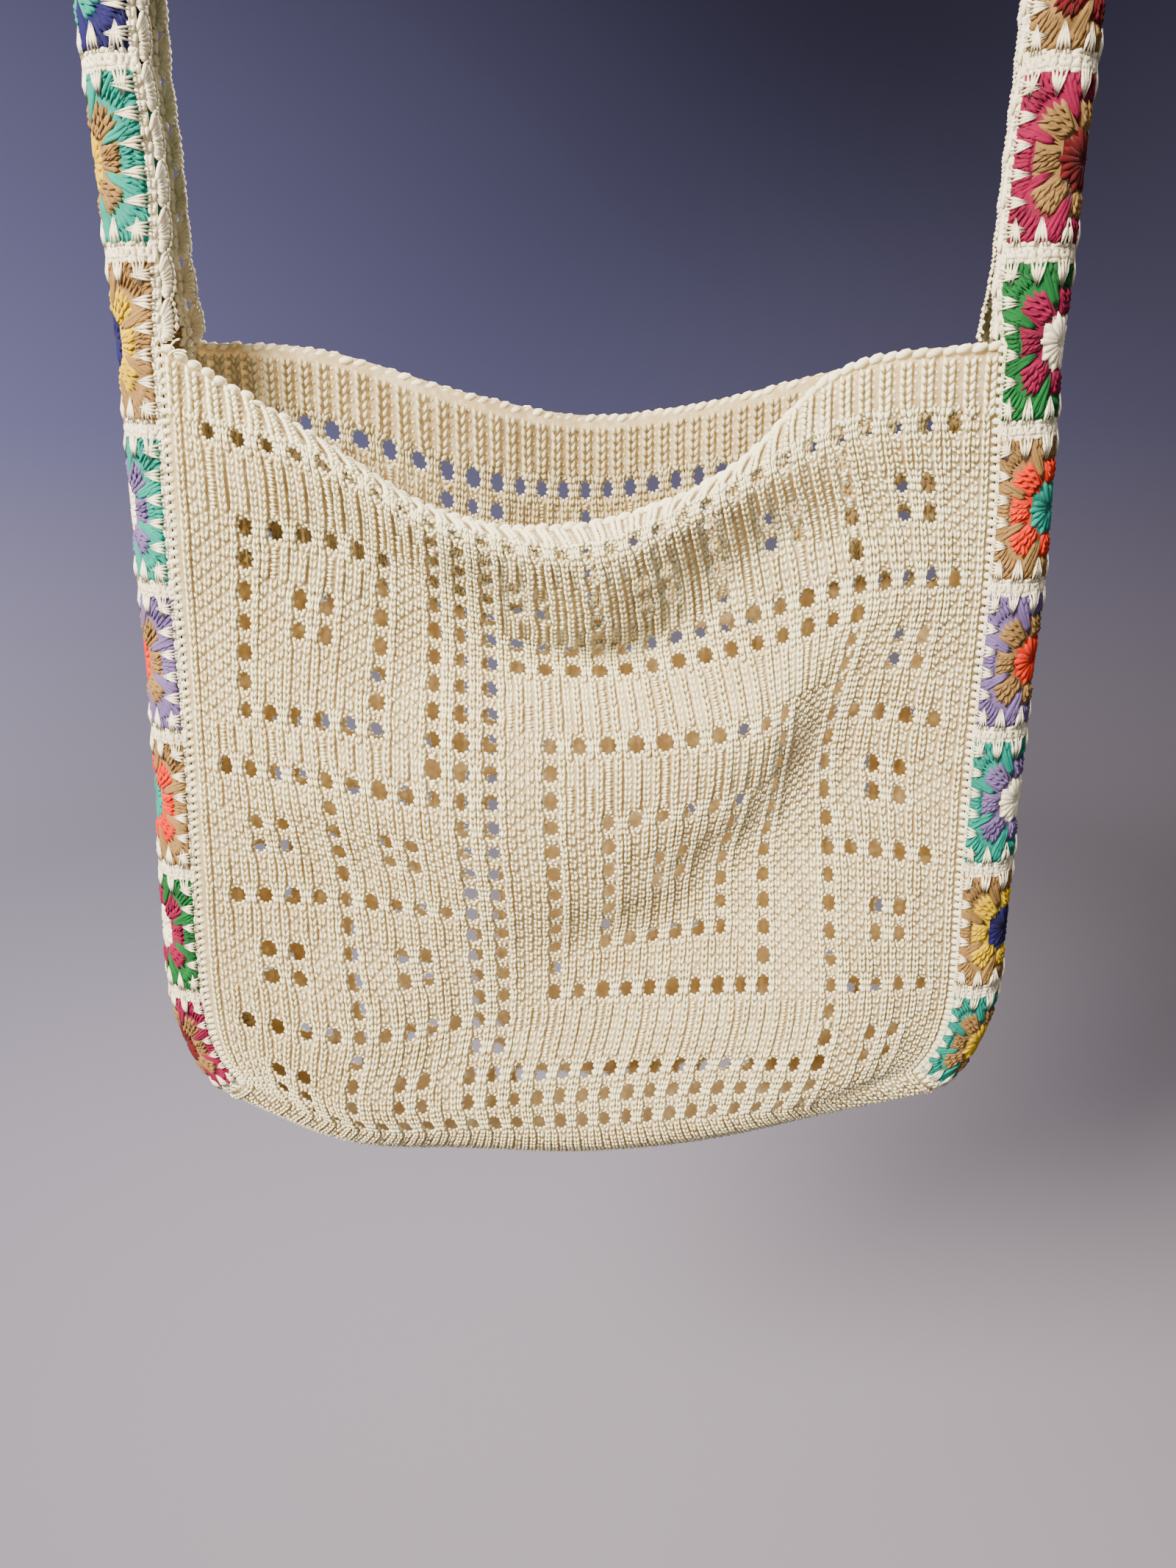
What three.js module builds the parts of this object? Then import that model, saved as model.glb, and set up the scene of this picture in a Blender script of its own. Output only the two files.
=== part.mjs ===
import * as THREE from 'three';

// Openwork shoulder bag. Two knitted cotton panels, pierced with eyelets, are sewn to one long strip of
// crocheted squares that is both sides of the bag and its strap.
// Lengths are millimetres and angles degrees. +Z is up and the front faces -Y. The origin is where the
// bag hangs: the underside of the strap at the top of its arch.

// Strip of squares
const squareLength = 59;          // one square along the strip, seam to seam
const stripWidth = 59;            // laid flat, before it is folded lengthwise
const stripWall = 2.6;
const squareCount = 25;
const strapSquares = 14;          // squares above the rim, the rest are shared by the two sides
const bagWidth = 347;             // between the folds of the strip at the rim
const squareGap = 0.4;            // between two squares
const scallop = 1.2;              // how far a strap square's free edge swells out at its middle

// Knitted panels
const panelWall = 2.2;
const bagDepth = 60;              // the mouth's room front to back, which folds and swells are shares of
const seamGap = 0.7;              // between a panel and what it is sewn to
const rimBandHeight = 25;         // ribbed band over the first row of eyelets
const footBandHeight = 32;        // close knitting below the last row of eyelets
const eyeletColumns = 29;
const eyeletRows = 26;
const rowSpacing = 11.4;          // between two rows of eyelets
const sideMargin = 1.4;           // plain knitting at each side, in columns
const eyeletWidth = 6.2;
const eyeletHeight = 7.4;
const backCoarseness = 2;         // eyelet columns and rows under each facet of the plain back

const halfStrip = stripWidth / 2;
const strapHalf = strapSquares * squareLength / 2;
const stripHalf = squareCount * squareLength / 2;
const sideLength = stripHalf - strapHalf;
const archRadius = bagWidth / 2 - stripWall / 2;
const quarterArch = archRadius * Math.PI / 2;
const topHeight = stripWall / 2;
const rimHeight = topHeight - archRadius - (strapHalf - quarterArch);
const panelHeight = rimBandHeight + (eyeletRows - 1) * rowSpacing + footBandHeight;
const cornerShare = sideLength / (sideLength + halfStrip);   // share of a panel's side above the strip's end

// How the two sides lean outwards on the way down from the rim.
const sideLean = [
  { down: 0.00, left: 0, right: 0 },
  { down: 0.10, left: 3, right: 4 },
  { down: 0.30, left: 1.5, right: 0.5 },
  { down: 0.60, left: 4, right: 2 },
  { down: 0.80, left: 1, right: 1 },
  { down: 0.90, left: -12, right: -14 },
  { down: 1.00, left: -40, right: -42 },
];

// How far each half of the strip is folded round, from the top of the arch to the strip's end.
const stripFold = [
  { along: 0.00, left: 35, right: 35 },
  { along: 0.30, left: 98, right: 130 },
  { along: 0.49, left: 108, right: 136 },
  { along: 0.56, left: 90, right: 123 },
  { along: 0.95, left: 88, right: 118 },
  { along: 1.00, left: 90, right: 118 },
];

// How far the folded strip bulges outwards at its middle.
const stripBulge = [
  { along: 0.00, left: 0.0, right: 0.0 },
  { along: 0.25, left: 0.0, right: 0.5 },
  { along: 0.56, left: 0.8, right: 2.8 },
  { along: 0.75, left: 1.0, right: 3.2 },
  { along: 0.90, left: 1.4, right: 2.4 },
  { along: 1.00, left: 0.0, right: 0.0 },
];

// Sections of the draped front from the rim to the bottom seam. Each has five stations between the panel's
// sides: across is a share of the width there, ahead a share of the bag's depth in front of its middle
// plane, and drop a share of the side's length below the rim.
const frontSections = [
  { down: 0.000, across: [0.142, 0.315, 0.488, 0.675, 0.816], ahead: [0.07, 0.15, 0.15, 0.13, 0.17],
    drop: [0.094, 0.190, 0.206, 0.148, 0.027] },
  { down: 0.073, across: [0.180, 0.342, 0.503, 0.650, 0.810], ahead: [0.42, 0.55, 0.54, 0.50, 0.34],
    drop: [0.126, 0.202, 0.225, 0.169, 0.097] },
  { down: 0.173, across: [0.179, 0.339, 0.516, 0.670, 0.835], ahead: [0.24, 0.22, 0.28, 0.23, 0.23],
    drop: [0.217, 0.276, 0.312, 0.248, 0.189] },
  { down: 0.257, across: [0.168, 0.336, 0.518, 0.687, 0.848], ahead: [0.26, 0.08, 0.00, 0.21, 0.29],
    drop: [0.312, 0.354, 0.374, 0.333, 0.286] },
  { down: 0.373, across: [0.161, 0.339, 0.531, 0.706, 0.829], ahead: [0.38, 0.37, 0.38, 0.43, 0.25],
    drop: [0.430, 0.459, 0.463, 0.440, 0.395] },
  { down: 0.473, across: [0.170, 0.343, 0.533, 0.703, 0.821], ahead: [0.44, 0.50, 0.43, 0.34, 0.16],
    drop: [0.539, 0.565, 0.561, 0.536, 0.496] },
  { down: 0.573, across: [0.180, 0.351, 0.537, 0.690, 0.832], ahead: [0.30, 0.36, 0.31, 0.15, 0.19],
    drop: [0.639, 0.664, 0.664, 0.627, 0.611] },
  { down: 0.673, across: [0.187, 0.355, 0.534, 0.692, 0.837], ahead: [0.32, 0.23, 0.09, 0.11, 0.27],
    drop: [0.755, 0.765, 0.757, 0.733, 0.726] },
  { down: 0.773, across: [0.196, 0.356, 0.526, 0.686, 0.840], ahead: [0.40, 0.20, 0.14, 0.26, 0.36],
    drop: [0.873, 0.868, 0.868, 0.852, 0.836] },
  { down: 0.873, across: [0.166, 0.334, 0.502, 0.669, 0.832], ahead: [0.41, 0.34, 0.25, 0.29, 0.41],
    drop: [0.982, 0.983, 0.982, 0.965, 0.945] },
  { down: 0.940, across: [0.166, 0.338, 0.505, 0.670, 0.832], ahead: [0.26, 0.25, 0.24, 0.25, 0.25],
    drop: [1.045, 1.053, 1.057, 1.039, 1.007] },
  { down: 1.000, across: [0.160, 0.335, 0.505, 0.670, 0.825], ahead: [0.00, 0.00, 0.00, 0.00, 0.00],
    drop: [1.088, 1.101, 1.107, 1.088, 1.046] },
];

// Sections of the back, which hangs fuller and higher than the front. ahead is behind the middle plane here.
const backSections = [
  { down: 0.000, across: [0.160, 0.345, 0.500, 0.660, 0.820], ahead: [0.37, 0.50, 0.70, 0.70, 0.50],
    drop: [0.008, 0.058, 0.086, 0.071, 0.034] },
  { down: 0.073, across: [0.160, 0.345, 0.500, 0.660, 0.820], ahead: [0.37, 0.50, 0.67, 0.67, 0.48],
    drop: [0.099, 0.159, 0.179, 0.160, 0.123] },
  { down: 0.250, across: [0.166, 0.335, 0.500, 0.665, 0.830], ahead: [0.43, 0.57, 0.70, 0.67, 0.47],
    drop: [0.284, 0.339, 0.361, 0.345, 0.305] },
  { down: 0.500, across: [0.166, 0.333, 0.500, 0.667, 0.833], ahead: [0.50, 0.63, 0.70, 0.63, 0.43],
    drop: [0.545, 0.601, 0.623, 0.607, 0.567] },
  { down: 0.750, across: [0.166, 0.333, 0.500, 0.667, 0.833], ahead: [0.47, 0.57, 0.57, 0.53, 0.40],
    drop: [0.807, 0.860, 0.878, 0.866, 0.826] },
  { down: 0.930, across: [0.166, 0.335, 0.503, 0.668, 0.832], ahead: [0.27, 0.27, 0.27, 0.27, 0.25],
    drop: [1.020, 1.035, 1.048, 1.030, 0.990] },
  { down: 1.000, across: [0.160, 0.335, 0.505, 0.670, 0.825], ahead: [0.00, 0.00, 0.00, 0.00, 0.00],
    drop: [1.088, 1.101, 1.107, 1.088, 1.046] },
];

// Main lines of the openwork, by eyelet column and row. Every other eyelet of them is cut through in the
// front, and half as many in the coarser back.
const openwork = [
  { name: 'row under the band', shape: 'line', firstColumn: 0, lastColumn: 28, firstRow: 0, lastRow: 0 },
  { name: 'upper left square', shape: 'ring', firstColumn: 1, lastColumn: 6, firstRow: 3, lastRow: 9 },
  { name: 'tall column', shape: 'line', firstColumn: 9, lastColumn: 9, firstRow: 2, lastRow: 23 },
  { name: 'large square', shape: 'ring', firstColumn: 12, lastColumn: 21, firstRow: 9, lastRow: 20 },
  { name: 'square inside it', shape: 'ring', firstColumn: 14, lastColumn: 19, firstRow: 12, lastRow: 18 },
  { name: 'row near the foot', shape: 'line', firstColumn: 11, lastColumn: 24, firstRow: 24, lastRow: 24 },
];

const cotton = { roughness: 0.92, metalness: 0 };
const panelMaterial = new THREE.MeshStandardMaterial({ color: 0xf3eedd, side: THREE.DoubleSide, ...cotton });
const squareColours = [0xc2187d, 0x15803d, 0xc49a6c, 0x9781b4, 0x3cbfa8, 0xc49a6c, 0x3cbfa8, 0x1e1464, 0xc49a6c];

const radians = THREE.MathUtils.degToRad;

// A smooth curve through rows of a table, with the slope at each row taken from its neighbours.
function alongTable(table, key, at, read) {
  const last = table.length - 1;
  let k = 0;
  while (k < last - 1 && at > table[k + 1][key]) k += 1;
  const place = i => table[i][key];
  const slope = i => {
    const before = Math.max(i - 1, 0);
    const after = Math.min(i + 1, last);
    return (read(table[after]) - read(table[before])) / (place(after) - place(before));
  };
  const span = place(k + 1) - place(k);
  const t = THREE.MathUtils.clamp((at - place(k)) / span, 0, 1);
  const t2 = t * t;
  const t3 = t2 * t;
  return (2 * t3 - 3 * t2 + 1) * read(table[k]) + (t3 - 2 * t2 + t) * span * slope(k)
    + (3 * t2 - 2 * t3) * read(table[k + 1]) + (t3 - t2) * span * slope(k + 1);
}

// The fold line of one side below the rim, found by walking down it in short steps.
const walkStep = 1;
function walkSide(side) {
  const walk = [new THREE.Vector2(archRadius, rimHeight)];
  for (let s = walkStep / 2; s < sideLength + stripWidth; s += walkStep) {
    const lean = radians(alongTable(sideLean, 'down', Math.min(s / sideLength, 1), row => row[side]));
    const here = walk[walk.length - 1];
    walk.push(new THREE.Vector2(here.x + walkStep * Math.sin(lean), here.y - walkStep * Math.cos(lean)));
  }
  return walk;
}
const sideWalk = { left: walkSide('left'), right: walkSide('right') };

// The strip's fold line at a distance from the top of the arch, negative on the left: its place and the
// direction to the inside of the loop, both in the middle plane.
function foldLine(fromTop) {
  const side = fromTop < 0 ? 'left' : 'right';
  const sign = fromTop < 0 ? -1 : 1;
  const distance = Math.abs(fromTop);
  if (distance <= quarterArch) {
    const angle = distance / archRadius;
    return {
      side,
      x: sign * archRadius * Math.sin(angle),
      z: topHeight - archRadius * (1 - Math.cos(angle)),
      inX: -sign * Math.sin(angle),
      inZ: -Math.cos(angle),
    };
  }
  if (distance <= strapHalf) {
    return { side, x: sign * archRadius, z: topHeight - archRadius - (distance - quarterArch), inX: -sign, inZ: 0 };
  }
  const below = distance - strapHalf;
  const k = Math.min(Math.floor(below / walkStep), sideWalk[side].length - 2);
  const at = sideWalk[side][k].clone().lerp(sideWalk[side][k + 1], below / walkStep - k);
  const lean = radians(alongTable(sideLean, 'down', Math.min(below / sideLength, 1), row => row[side]));
  return { side, x: sign * at.x, z: at.y, inX: -sign * Math.cos(lean), inZ: -Math.sin(lean) };
}

function alongStrip(table, fromTop) {
  const side = fromTop < 0 ? 'left' : 'right';
  const along = Math.min(Math.abs(fromTop) / stripHalf, 1);
  return alongTable(table, 'along', along, row => row[side]);
}

function foldAngle(fromTop) {
  return radians(alongStrip(stripFold, fromTop));
}

// A point of the strip: angle is measured round the fold, positive to the front, and lift is how far the
// point stands outside the middle of the wall.
function stripPoint(fromTop, angle, lift) {
  const line = foldLine(fromTop);
  const radius = halfStrip / foldAngle(fromTop);
  const inward = radius - (radius + lift) * Math.cos(angle);
  return new THREE.Vector3(line.x + line.inX * inward, -(radius + lift) * Math.sin(angle), line.z + line.inZ * inward);
}

function stripOutward(fromTop, angle) {
  return stripPoint(fromTop, angle, 1).sub(stripPoint(fromTop, angle, 0)).normalize();
}

// Where a panel's side lies: along the strip's edge, and at the foot round the strip's end to its fold.
function sidePlace(down, side, facing) {
  const sign = side === 'left' ? -1 : 1;
  const end = sign * (stripHalf + seamGap);
  const fold = foldAngle(sign * stripHalf);
  const edge = fold + seamGap * fold / halfStrip;
  if (down > cornerShare) {
    const left = 1 - (down - cornerShare) / (1 - cornerShare);
    const least = seamGap * fold / stripWidth;
    return { fromTop: end, angle: facing * Math.max(edge * left, least) };
  }
  const fromTop = sign * (strapHalf + (sideLength + seamGap) * down / cornerShare);
  const here = foldAngle(fromTop);
  return { fromTop, angle: facing * (here + seamGap * here / halfStrip) };
}

// A point in the middle of a draped panel's wall. facing is 1 for the front and -1 for the back.
function panelPoint(sections, facing, across, down) {
  const left = sidePlace(down, 'left', facing);
  const right = sidePlace(down, 'right', facing);
  const start = stripPoint(left.fromTop, left.angle, 0);
  const stop = stripPoint(right.fromTop, right.angle, 0);
  const stations = [start];
  for (let k = 0; k < 5; k += 1) {
    const share = alongTable(sections, 'down', down, row => row.across[k]);
    const ahead = alongTable(sections, 'down', down, row => row.ahead[k]);
    const drop = alongTable(sections, 'down', down, row => row.drop[k]);
    stations.push(new THREE.Vector3(
      THREE.MathUtils.lerp(start.x, stop.x, share),
      -facing * Math.max(ahead * bagDepth, seamGap / 2),
      rimHeight - drop * sideLength));
  }
  stations.push(stop);
  const table = stations.map((point, k) => ({ at: k / 6, point }));
  const read = axis => alongTable(table, 'at', across, row => row.point[axis]);
  return new THREE.Vector3(read('x'), read('y'), read('z'));
}

// The outward direction of a panel: the strip's at its sides, and level with the seam at the foot.
function panelOutward(sections, facing, across, down) {
  if (across === 0 || across === 1) {
    const place = sidePlace(down, across === 0 ? 'left' : 'right', facing);
    const outward = stripOutward(place.fromTop, place.angle);
    if (down === 1) outward.y = 0;
    return outward.normalize();
  }
  const step = 0.004;
  const at = (u, v) => panelPoint(sections, facing, THREE.MathUtils.clamp(u, 0, 1), THREE.MathUtils.clamp(v, 0, 1));
  const along = at(across + step, down).sub(at(across - step, down));
  const fall = at(across, down + step).sub(at(across, down - step));
  const outward = fall.cross(along).multiplyScalar(facing);
  if (down === 1) outward.y = 0;
  return outward.normalize();
}

function solidFrom(positions, triangles) {
  const geometry = new THREE.BufferGeometry();
  geometry.setAttribute('position', new THREE.Float32BufferAttribute(positions, 3));
  geometry.setIndex(triangles);
  geometry.computeVertexNormals();
  return geometry;
}

// A wall between an outer and an inner grid of points, closed round its border. pierced(i, j) gives the
// width and height of a cell's hole as shares of the cell, or nothing where the cell is whole.
function wallGeometry(columns, rows, point, pierced) {
  const positions = [];
  const triangles = [];
  const index = (i, j, inner) => 2 * (j * (columns + 1) + i) + (inner ? 1 : 0);
  const quad = (a, b, c, d) => triangles.push(a, b, c, a, c, d);
  for (let j = 0; j <= rows; j += 1) {
    for (let i = 0; i <= columns; i += 1) {
      positions.push(...point(i, j, false).toArray(), ...point(i, j, true).toArray());
    }
  }
  const vertex = k => new THREE.Vector3().fromArray(positions, 3 * k);
  for (let j = 0; j < rows; j += 1) {
    for (let i = 0; i < columns; i += 1) {
      const ringOf = inner => [[i, j], [i, j + 1], [i + 1, j + 1], [i + 1, j]].map(([a, b]) => index(a, b, inner));
      const outer = ringOf(false);
      const inner = ringOf(true);
      const hole = pierced(i, j);
      if (!hole) {
        quad(...outer);
        quad(inner[3], inner[2], inner[1], inner[0]);
        continue;
      }
      const lowU = (1 - hole.width) / 2;
      const lowV = (1 - hole.height) / 2;
      const corners = [[lowU, lowV], [lowU, 1 - lowV], [1 - lowU, 1 - lowV], [1 - lowU, lowV]];
      const cut = ring => corners.map(([u, v]) => {
        const [topLeft, lowLeft, lowRight, topRight] = ring.map(vertex);
        const high = topLeft.lerp(topRight, u);
        const low = lowLeft.lerp(lowRight, u);
        positions.push(...high.lerp(low, v).toArray());
        return positions.length / 3 - 1;
      });
      const outerCut = cut(outer);
      const innerCut = cut(inner);
      for (let k = 0; k < 4; k += 1) {
        const next = (k + 1) % 4;
        quad(outer[k], outer[next], outerCut[next], outerCut[k]);
        quad(inner[next], inner[k], innerCut[k], innerCut[next]);
        quad(outerCut[k], outerCut[next], innerCut[next], innerCut[k]);
      }
    }
  }
  for (let i = 0; i < columns; i += 1) {
    quad(index(i, 0, false), index(i + 1, 0, false), index(i + 1, 0, true), index(i, 0, true));
    quad(index(i, rows, false), index(i, rows, true), index(i + 1, rows, true), index(i + 1, rows, false));
  }
  for (let j = 0; j < rows; j += 1) {
    quad(index(0, j, false), index(0, j, true), index(0, j + 1, true), index(0, j + 1, false));
    quad(index(columns, j, false), index(columns, j + 1, false), index(columns, j + 1, true), index(columns, j, true));
  }
  return solidFrom(positions, triangles);
}

// Lines between which the facets lie, so that each eyelet has a facet to itself.
function facetLines() {
  const width = eyeletColumns - 1 + 2 * sideMargin;
  const across = [0];
  for (let c = 0; c <= eyeletColumns; c += 1) across.push((sideMargin + c - 0.5) / width);
  across.push(1);
  const down = [0, (rimBandHeight - rowSpacing / 2) / 2 / panelHeight];
  for (let r = 0; r < eyeletRows; r += 1) down.push((rimBandHeight + (r - 0.5) * rowSpacing) / panelHeight);
  down.push(cornerShare, (1 + cornerShare) / 2, 1);
  return { across, down };
}

function isOpen(column, row, every) {
  if ((column + row) % every) return false;
  return openwork.some(motif => {
    const inside = column >= motif.firstColumn && column <= motif.lastColumn
      && row >= motif.firstRow && row <= motif.lastRow;
    const onBorder = column === motif.firstColumn || column === motif.lastColumn
      || row === motif.firstRow || row === motif.lastRow;
    return inside && (motif.shape === 'line' || onBorder);
  });
}

function thinned(lines, every) {
  return lines.filter((value, k) => k % every === 0 || k === lines.length - 1);
}

function panel(name, sections, facing, coarseness) {
  const fine = facetLines();
  const across = thinned(fine.across, coarseness);
  const down = thinned(fine.down.slice(0, -3), coarseness).concat(fine.down.slice(-3));
  const middle = down.map(v => across.map(u => panelPoint(sections, facing, u, v)));
  const outward = down.map(v => across.map(u => panelOutward(sections, facing, u, v)));
  const columns = across.length - 1;
  const rows = down.length - 1;
  const mirrored = i => (facing > 0 ? i : columns - i);
  const point = (i, j, inner) => {
    const lift = inner ? -panelWall / 2 : panelWall / 2;
    return middle[j][mirrored(i)].clone().addScaledVector(outward[j][mirrored(i)], lift);
  };
  const pierced = (i, j) => {
    const column = i * coarseness - 1;
    const row = j * coarseness - 2;
    const reach = k => [...Array(coarseness).keys()].map(n => k + n);
    const every = 2 * coarseness;
    const open = reach(column).some(c => reach(row).some(r => c >= 0 && r >= 0 && isOpen(c, r, every)));
    if (!open || row < 0 || row > eyeletRows - 2) return null;
    const cellWidth = middle[j][mirrored(i)].distanceTo(middle[j][mirrored(i + 1)]);
    const cellHeight = middle[j][mirrored(i)].distanceTo(middle[j + 1][mirrored(i)]);
    return { width: Math.min(eyeletWidth / cellWidth, 0.8), height: Math.min(eyeletHeight / cellHeight, 0.8) };
  };
  const mesh = new THREE.Mesh(wallGeometry(columns, rows, point, pierced), panelMaterial);
  mesh.name = name;
  return mesh;
}

function square(number) {
  const facetsAcross = 8;
  const facetsAlong = 3;
  const start = -stripHalf + (number - 1) * squareLength + squareGap / 2;
  const length = squareLength - squareGap;
  const point = (i, j, inner) => {
    const share = j / facetsAlong;
    const fromTop = start + share * length;
    const onStrap = Math.abs(fromTop) < strapHalf - squareGap;
    const swell = onStrap ? scallop * Math.sin(Math.PI * share) : 0;
    const fold = foldAngle(fromTop) * (1 + swell / halfStrip);
    const round = 1 - 2 * i / facetsAcross;
    const bulge = alongStrip(stripBulge, fromTop) * (1 - round * round);
    return stripPoint(fromTop, fold * round, bulge + (inner ? -stripWall / 2 : stripWall / 2));
  };
  const colour = squareColours[(number - 1) % squareColours.length];
  const material = new THREE.MeshStandardMaterial({ color: colour, ...cotton });
  const mesh = new THREE.Mesh(wallGeometry(facetsAcross, facetsAlong, point, () => null), material);
  mesh.name = `square_${String(number).padStart(2, '0')}`;
  return mesh;
}

const bag = new THREE.Group();
bag.name = 'openwork_bag';
bag.add(panel('front_panel', frontSections, 1, 1));
bag.add(panel('back_panel', backSections, -1, backCoarseness));
for (let number = 1; number <= squareCount; number += 1) bag.add(square(number));

export default bag;
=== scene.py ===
import math

import bmesh
import bpy
import numpy as np
from mathutils import Matrix, Vector


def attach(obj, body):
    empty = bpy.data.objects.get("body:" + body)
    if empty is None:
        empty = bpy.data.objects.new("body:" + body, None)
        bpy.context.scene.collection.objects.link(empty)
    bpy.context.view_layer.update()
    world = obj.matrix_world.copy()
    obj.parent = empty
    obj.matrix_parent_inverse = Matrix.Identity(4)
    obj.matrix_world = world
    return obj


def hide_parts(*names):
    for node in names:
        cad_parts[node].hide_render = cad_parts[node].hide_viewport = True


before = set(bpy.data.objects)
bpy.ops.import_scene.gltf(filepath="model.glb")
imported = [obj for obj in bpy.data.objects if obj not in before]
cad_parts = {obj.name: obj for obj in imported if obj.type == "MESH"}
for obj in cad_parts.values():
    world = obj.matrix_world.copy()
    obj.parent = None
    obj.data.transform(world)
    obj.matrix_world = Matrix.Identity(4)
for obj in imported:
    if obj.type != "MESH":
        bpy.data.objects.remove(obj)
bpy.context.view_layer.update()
print("frame loaded,", len(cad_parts), "CAD nodes")

# The bag is worked out in millimetres, on the same drape as the solids, and each mesh is made in metres.
mm = 0.001
random = np.random.default_rng(11)

cameraValues = {
    "place": (0.0, -0.470, -0.317),
    "tilt": 70.0,          # degrees from straight down
    "lens": 27.2,
}

cameraData = bpy.data.cameras.new("camera")
cameraData.lens = cameraValues["lens"]
cameraData.sensor_width = 36.0
cameraData.clip_start = 0.02
camera = bpy.data.objects.new("camera", cameraData)
camera.location = cameraValues["place"]
camera.rotation_euler = (math.radians(cameraValues["tilt"]), 0.0, 0.0)
bpy.context.scene.collection.objects.link(camera)
bpy.context.scene.camera = camera
print("camera placed")


def linearColour(hexColour):
    parts = [int(hexColour[i:i + 2], 16) / 255 for i in (1, 3, 5)]
    return tuple(p / 12.92 if p <= 0.04045 else ((p + 0.055) / 1.055) ** 2.4 for p in parts) + (1.0,)


def addNode(tree, kind, settings=None, links=None):
    node = tree.nodes.new(kind)
    for key, value in (settings or {}).items():
        if isinstance(key, str) and hasattr(node, key):
            setattr(node, key, value)
        else:
            node.inputs[key].default_value = value
    for key, socket in (links or {}).items():
        tree.links.new(socket, node.inputs[key])
    return node


yarnLook = {
    "dyePatches": 90.0,       # to the metre, so patches of dye are 11 mm across
    "fibreTufts": 1400.0,     # and tufts of fibre 0.7 mm
    "tuftShare": 0.45,
    "stitchReliefAndShade": -0.5,
    "shadeAt": 0.42,          # where on the mixed noise the shade ends and the full colour begins
    "colourAt": 0.82,
    "relief": 0.35,
    "tuftDepth": 0.0004,
    "stitchDepth": 0.0015,
    "roughness": 0.88,
    "gloss": 0.25,
    "fuzzRoughness": 0.45,
}


# Mercerised cotton yarn, spun and plied: matt, with a soft fuzz at grazing light, short tufts of fibre and
# slightly uneven dye.
def cottonYarn(name, colour, shade, fuzz=0.04, glow=0.03, stitch=0.0):
    material = bpy.data.materials.new(name)
    material.use_nodes = True
    tree = material.node_tree
    tree.nodes.clear()
    place = addNode(tree, "ShaderNodeTexCoord")
    drift = addNode(tree, "ShaderNodeTexNoise",
                    {"Scale": yarnLook["dyePatches"], "Detail": 3.0, "Roughness": 0.6},
                    {"Vector": place.outputs["Object"]})
    fibre = addNode(tree, "ShaderNodeTexNoise",
                    {"Scale": yarnLook["fibreTufts"], "Detail": 4.0, "Roughness": 0.65},
                    {"Vector": place.outputs["Object"]})
    mixed = addNode(tree, "ShaderNodeMath", {"operation": "MULTIPLY_ADD", 1: yarnLook["tuftShare"]},
                    {0: fibre.outputs["Fac"], 2: drift.outputs["Fac"]})
    height, depth = fibre.outputs["Fac"], yarnLook["tuftDepth"]
    if stitch:      # stitches this many mm apart, drawn only in the cloth's bump and in its colour, where painted shade darkens the cloth between them
        bumps = addNode(tree, "ShaderNodeTexVoronoi", {"Scale": 1 / (stitch * mm)},
                        {"Vector": place.outputs["Object"]})
        mixed = addNode(tree, "ShaderNodeMath", {"operation": "MULTIPLY_ADD", 1: yarnLook["stitchReliefAndShade"]},
                        {0: bumps.outputs["Distance"], 2: mixed.outputs[0]})
        height, depth = mixed.outputs[0], yarnLook["stitchDepth"]
    ramp = addNode(tree, "ShaderNodeValToRGB", None, {"Fac": mixed.outputs[0]})
    ramp.color_ramp.elements[0].position = yarnLook["shadeAt"]
    ramp.color_ramp.elements[0].color = linearColour(shade)
    ramp.color_ramp.elements[1].position = yarnLook["colourAt"]
    ramp.color_ramp.elements[1].color = linearColour(colour)
    bump = addNode(tree, "ShaderNodeBump", {"Strength": yarnLook["relief"], "Distance": depth}, {"Height": height})
    cloth = addNode(tree, "ShaderNodeBsdfPrincipled", {
        "Roughness": yarnLook["roughness"],
        "Specular IOR Level": yarnLook["gloss"],
        "Sheen Weight": fuzz,
        "Sheen Roughness": yarnLook["fuzzRoughness"],
    }, {"Base Color": ramp.outputs["Color"], "Normal": bump.outputs["Normal"]})
    through = addNode(tree, "ShaderNodeBsdfTranslucent", None, {"Color": ramp.outputs["Color"]})
    both = addNode(tree, "ShaderNodeMixShader", {0: glow}, {1: cloth.outputs["BSDF"], 2: through.outputs["BSDF"]})
    addNode(tree, "ShaderNodeOutputMaterial", None, {"Surface": both.outputs["Shader"]})
    return material


# The bag's own undyed cotton: its yarn, a darker copy of it for the inside, whose darkness is painted shade, and
# the cloth under the stitches, with painted shade between its stitches.
creamYarn = cottonYarn("cream_cotton_yarn", "#FBF4D0", "#EADFB4", 0.22, 0.22)
# The inside's darker copy of the yarn is painted shade: the same yarn, darkened where the bag's inside lies in
# shade.
creamInsideShaded = cottonYarn("cream_cotton_yarn_inside_painted_shade", "#D6CAA2", "#BCAC82", 0.12, 0.2)
# The cloth's colour is darker at the edges of its small stitches: painted shade in the grooves between them.
creamGroundShaded = cottonYarn("cream_cotton_ground_painted_shade", "#F4E8C8", "#D8C296", 0.1, 0.55, 3.2)
# Off-white cotton that joins the squares, and their dyed cottons.
yarns = {"white": cottonYarn("white_cotton_yarn", "#EBE2C6", "#CFC09C", 0.2, 0.1)}
for dye, colour, shade in (
        ("magenta", "#7A0234", "#520020"), ("green", "#0A5A26", "#063C18"), ("tan", "#846438", "#5A4220"),
        ("lilac", "#64527E", "#483A62"), ("teal", "#0E7E6E", "#085A50"), ("navy", "#100A46", "#08052A"),
        ("orange", "#C42400", "#8E1600"), ("yellow", "#BE9C00", "#927400"), ("dark_red", "#560408", "#340204")):
    yarns[dye] = cottonYarn(f"{dye}_cotton_yarn", colour, shade)
print("yarns mixed")


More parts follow.
